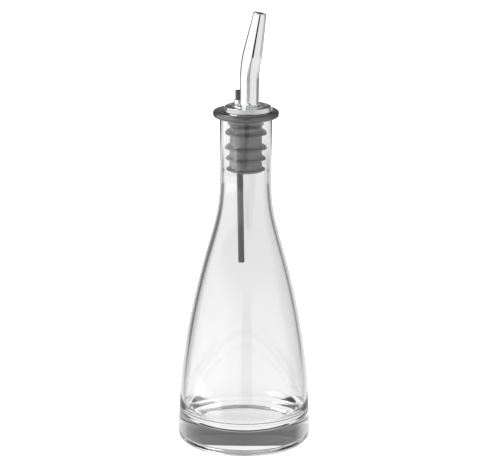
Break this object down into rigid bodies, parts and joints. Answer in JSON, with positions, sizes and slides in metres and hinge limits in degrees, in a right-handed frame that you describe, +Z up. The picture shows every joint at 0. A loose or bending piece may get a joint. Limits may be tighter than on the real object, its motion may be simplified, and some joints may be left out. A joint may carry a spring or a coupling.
{
  "type": "glass oil bottle",
  "caption": "Clear glass oil bottle with a thick base and a slim neck, closed by a finned rubber stopper that carries a bent steel pouring spout and a breather tube.",
  "frame": {"origin": "centre of the foot ring's underside, on the surface that the bottle stands on", "axes": "+Z up along the bottle's axis, +X the way the spout leans and pours, +Y away from a person who sees the spout lean to the right"},
  "size_m": [0.069, 0.069, 0.228],
  "materials": {
    "clear_glass": "clear moulded soda-lime glass, fire-polished",
    "grey_rubber": "moulded dark grey rubber, satin",
    "polished_steel": "polished stainless steel",
    "black_plastic": "black extruded plastic tube, satin"
  },
  "bodies": {
    "bottle": {"bottle": "clear_glass"},
    "stopper": {"stopper": "grey_rubber"},
    "pourer": {"collar": "polished_steel", "stem": "polished_steel", "spout": "polished_steel", "vent_seat": "polished_steel", "vent_tube": "black_plastic"}
  },
  "joints": [
    {"name": "stopper_lift", "type": "slide", "parent": "bottle", "child": "stopper", "axis": [0, 0, 1], "range_m": [0, 0.085]},
    {"name": "pourer_swivel", "type": "hinge", "parent": "stopper", "child": "pourer", "pos_m": [0, 0, 0.16], "axis": [0, 0, 1], "continuous": true}
  ]
}
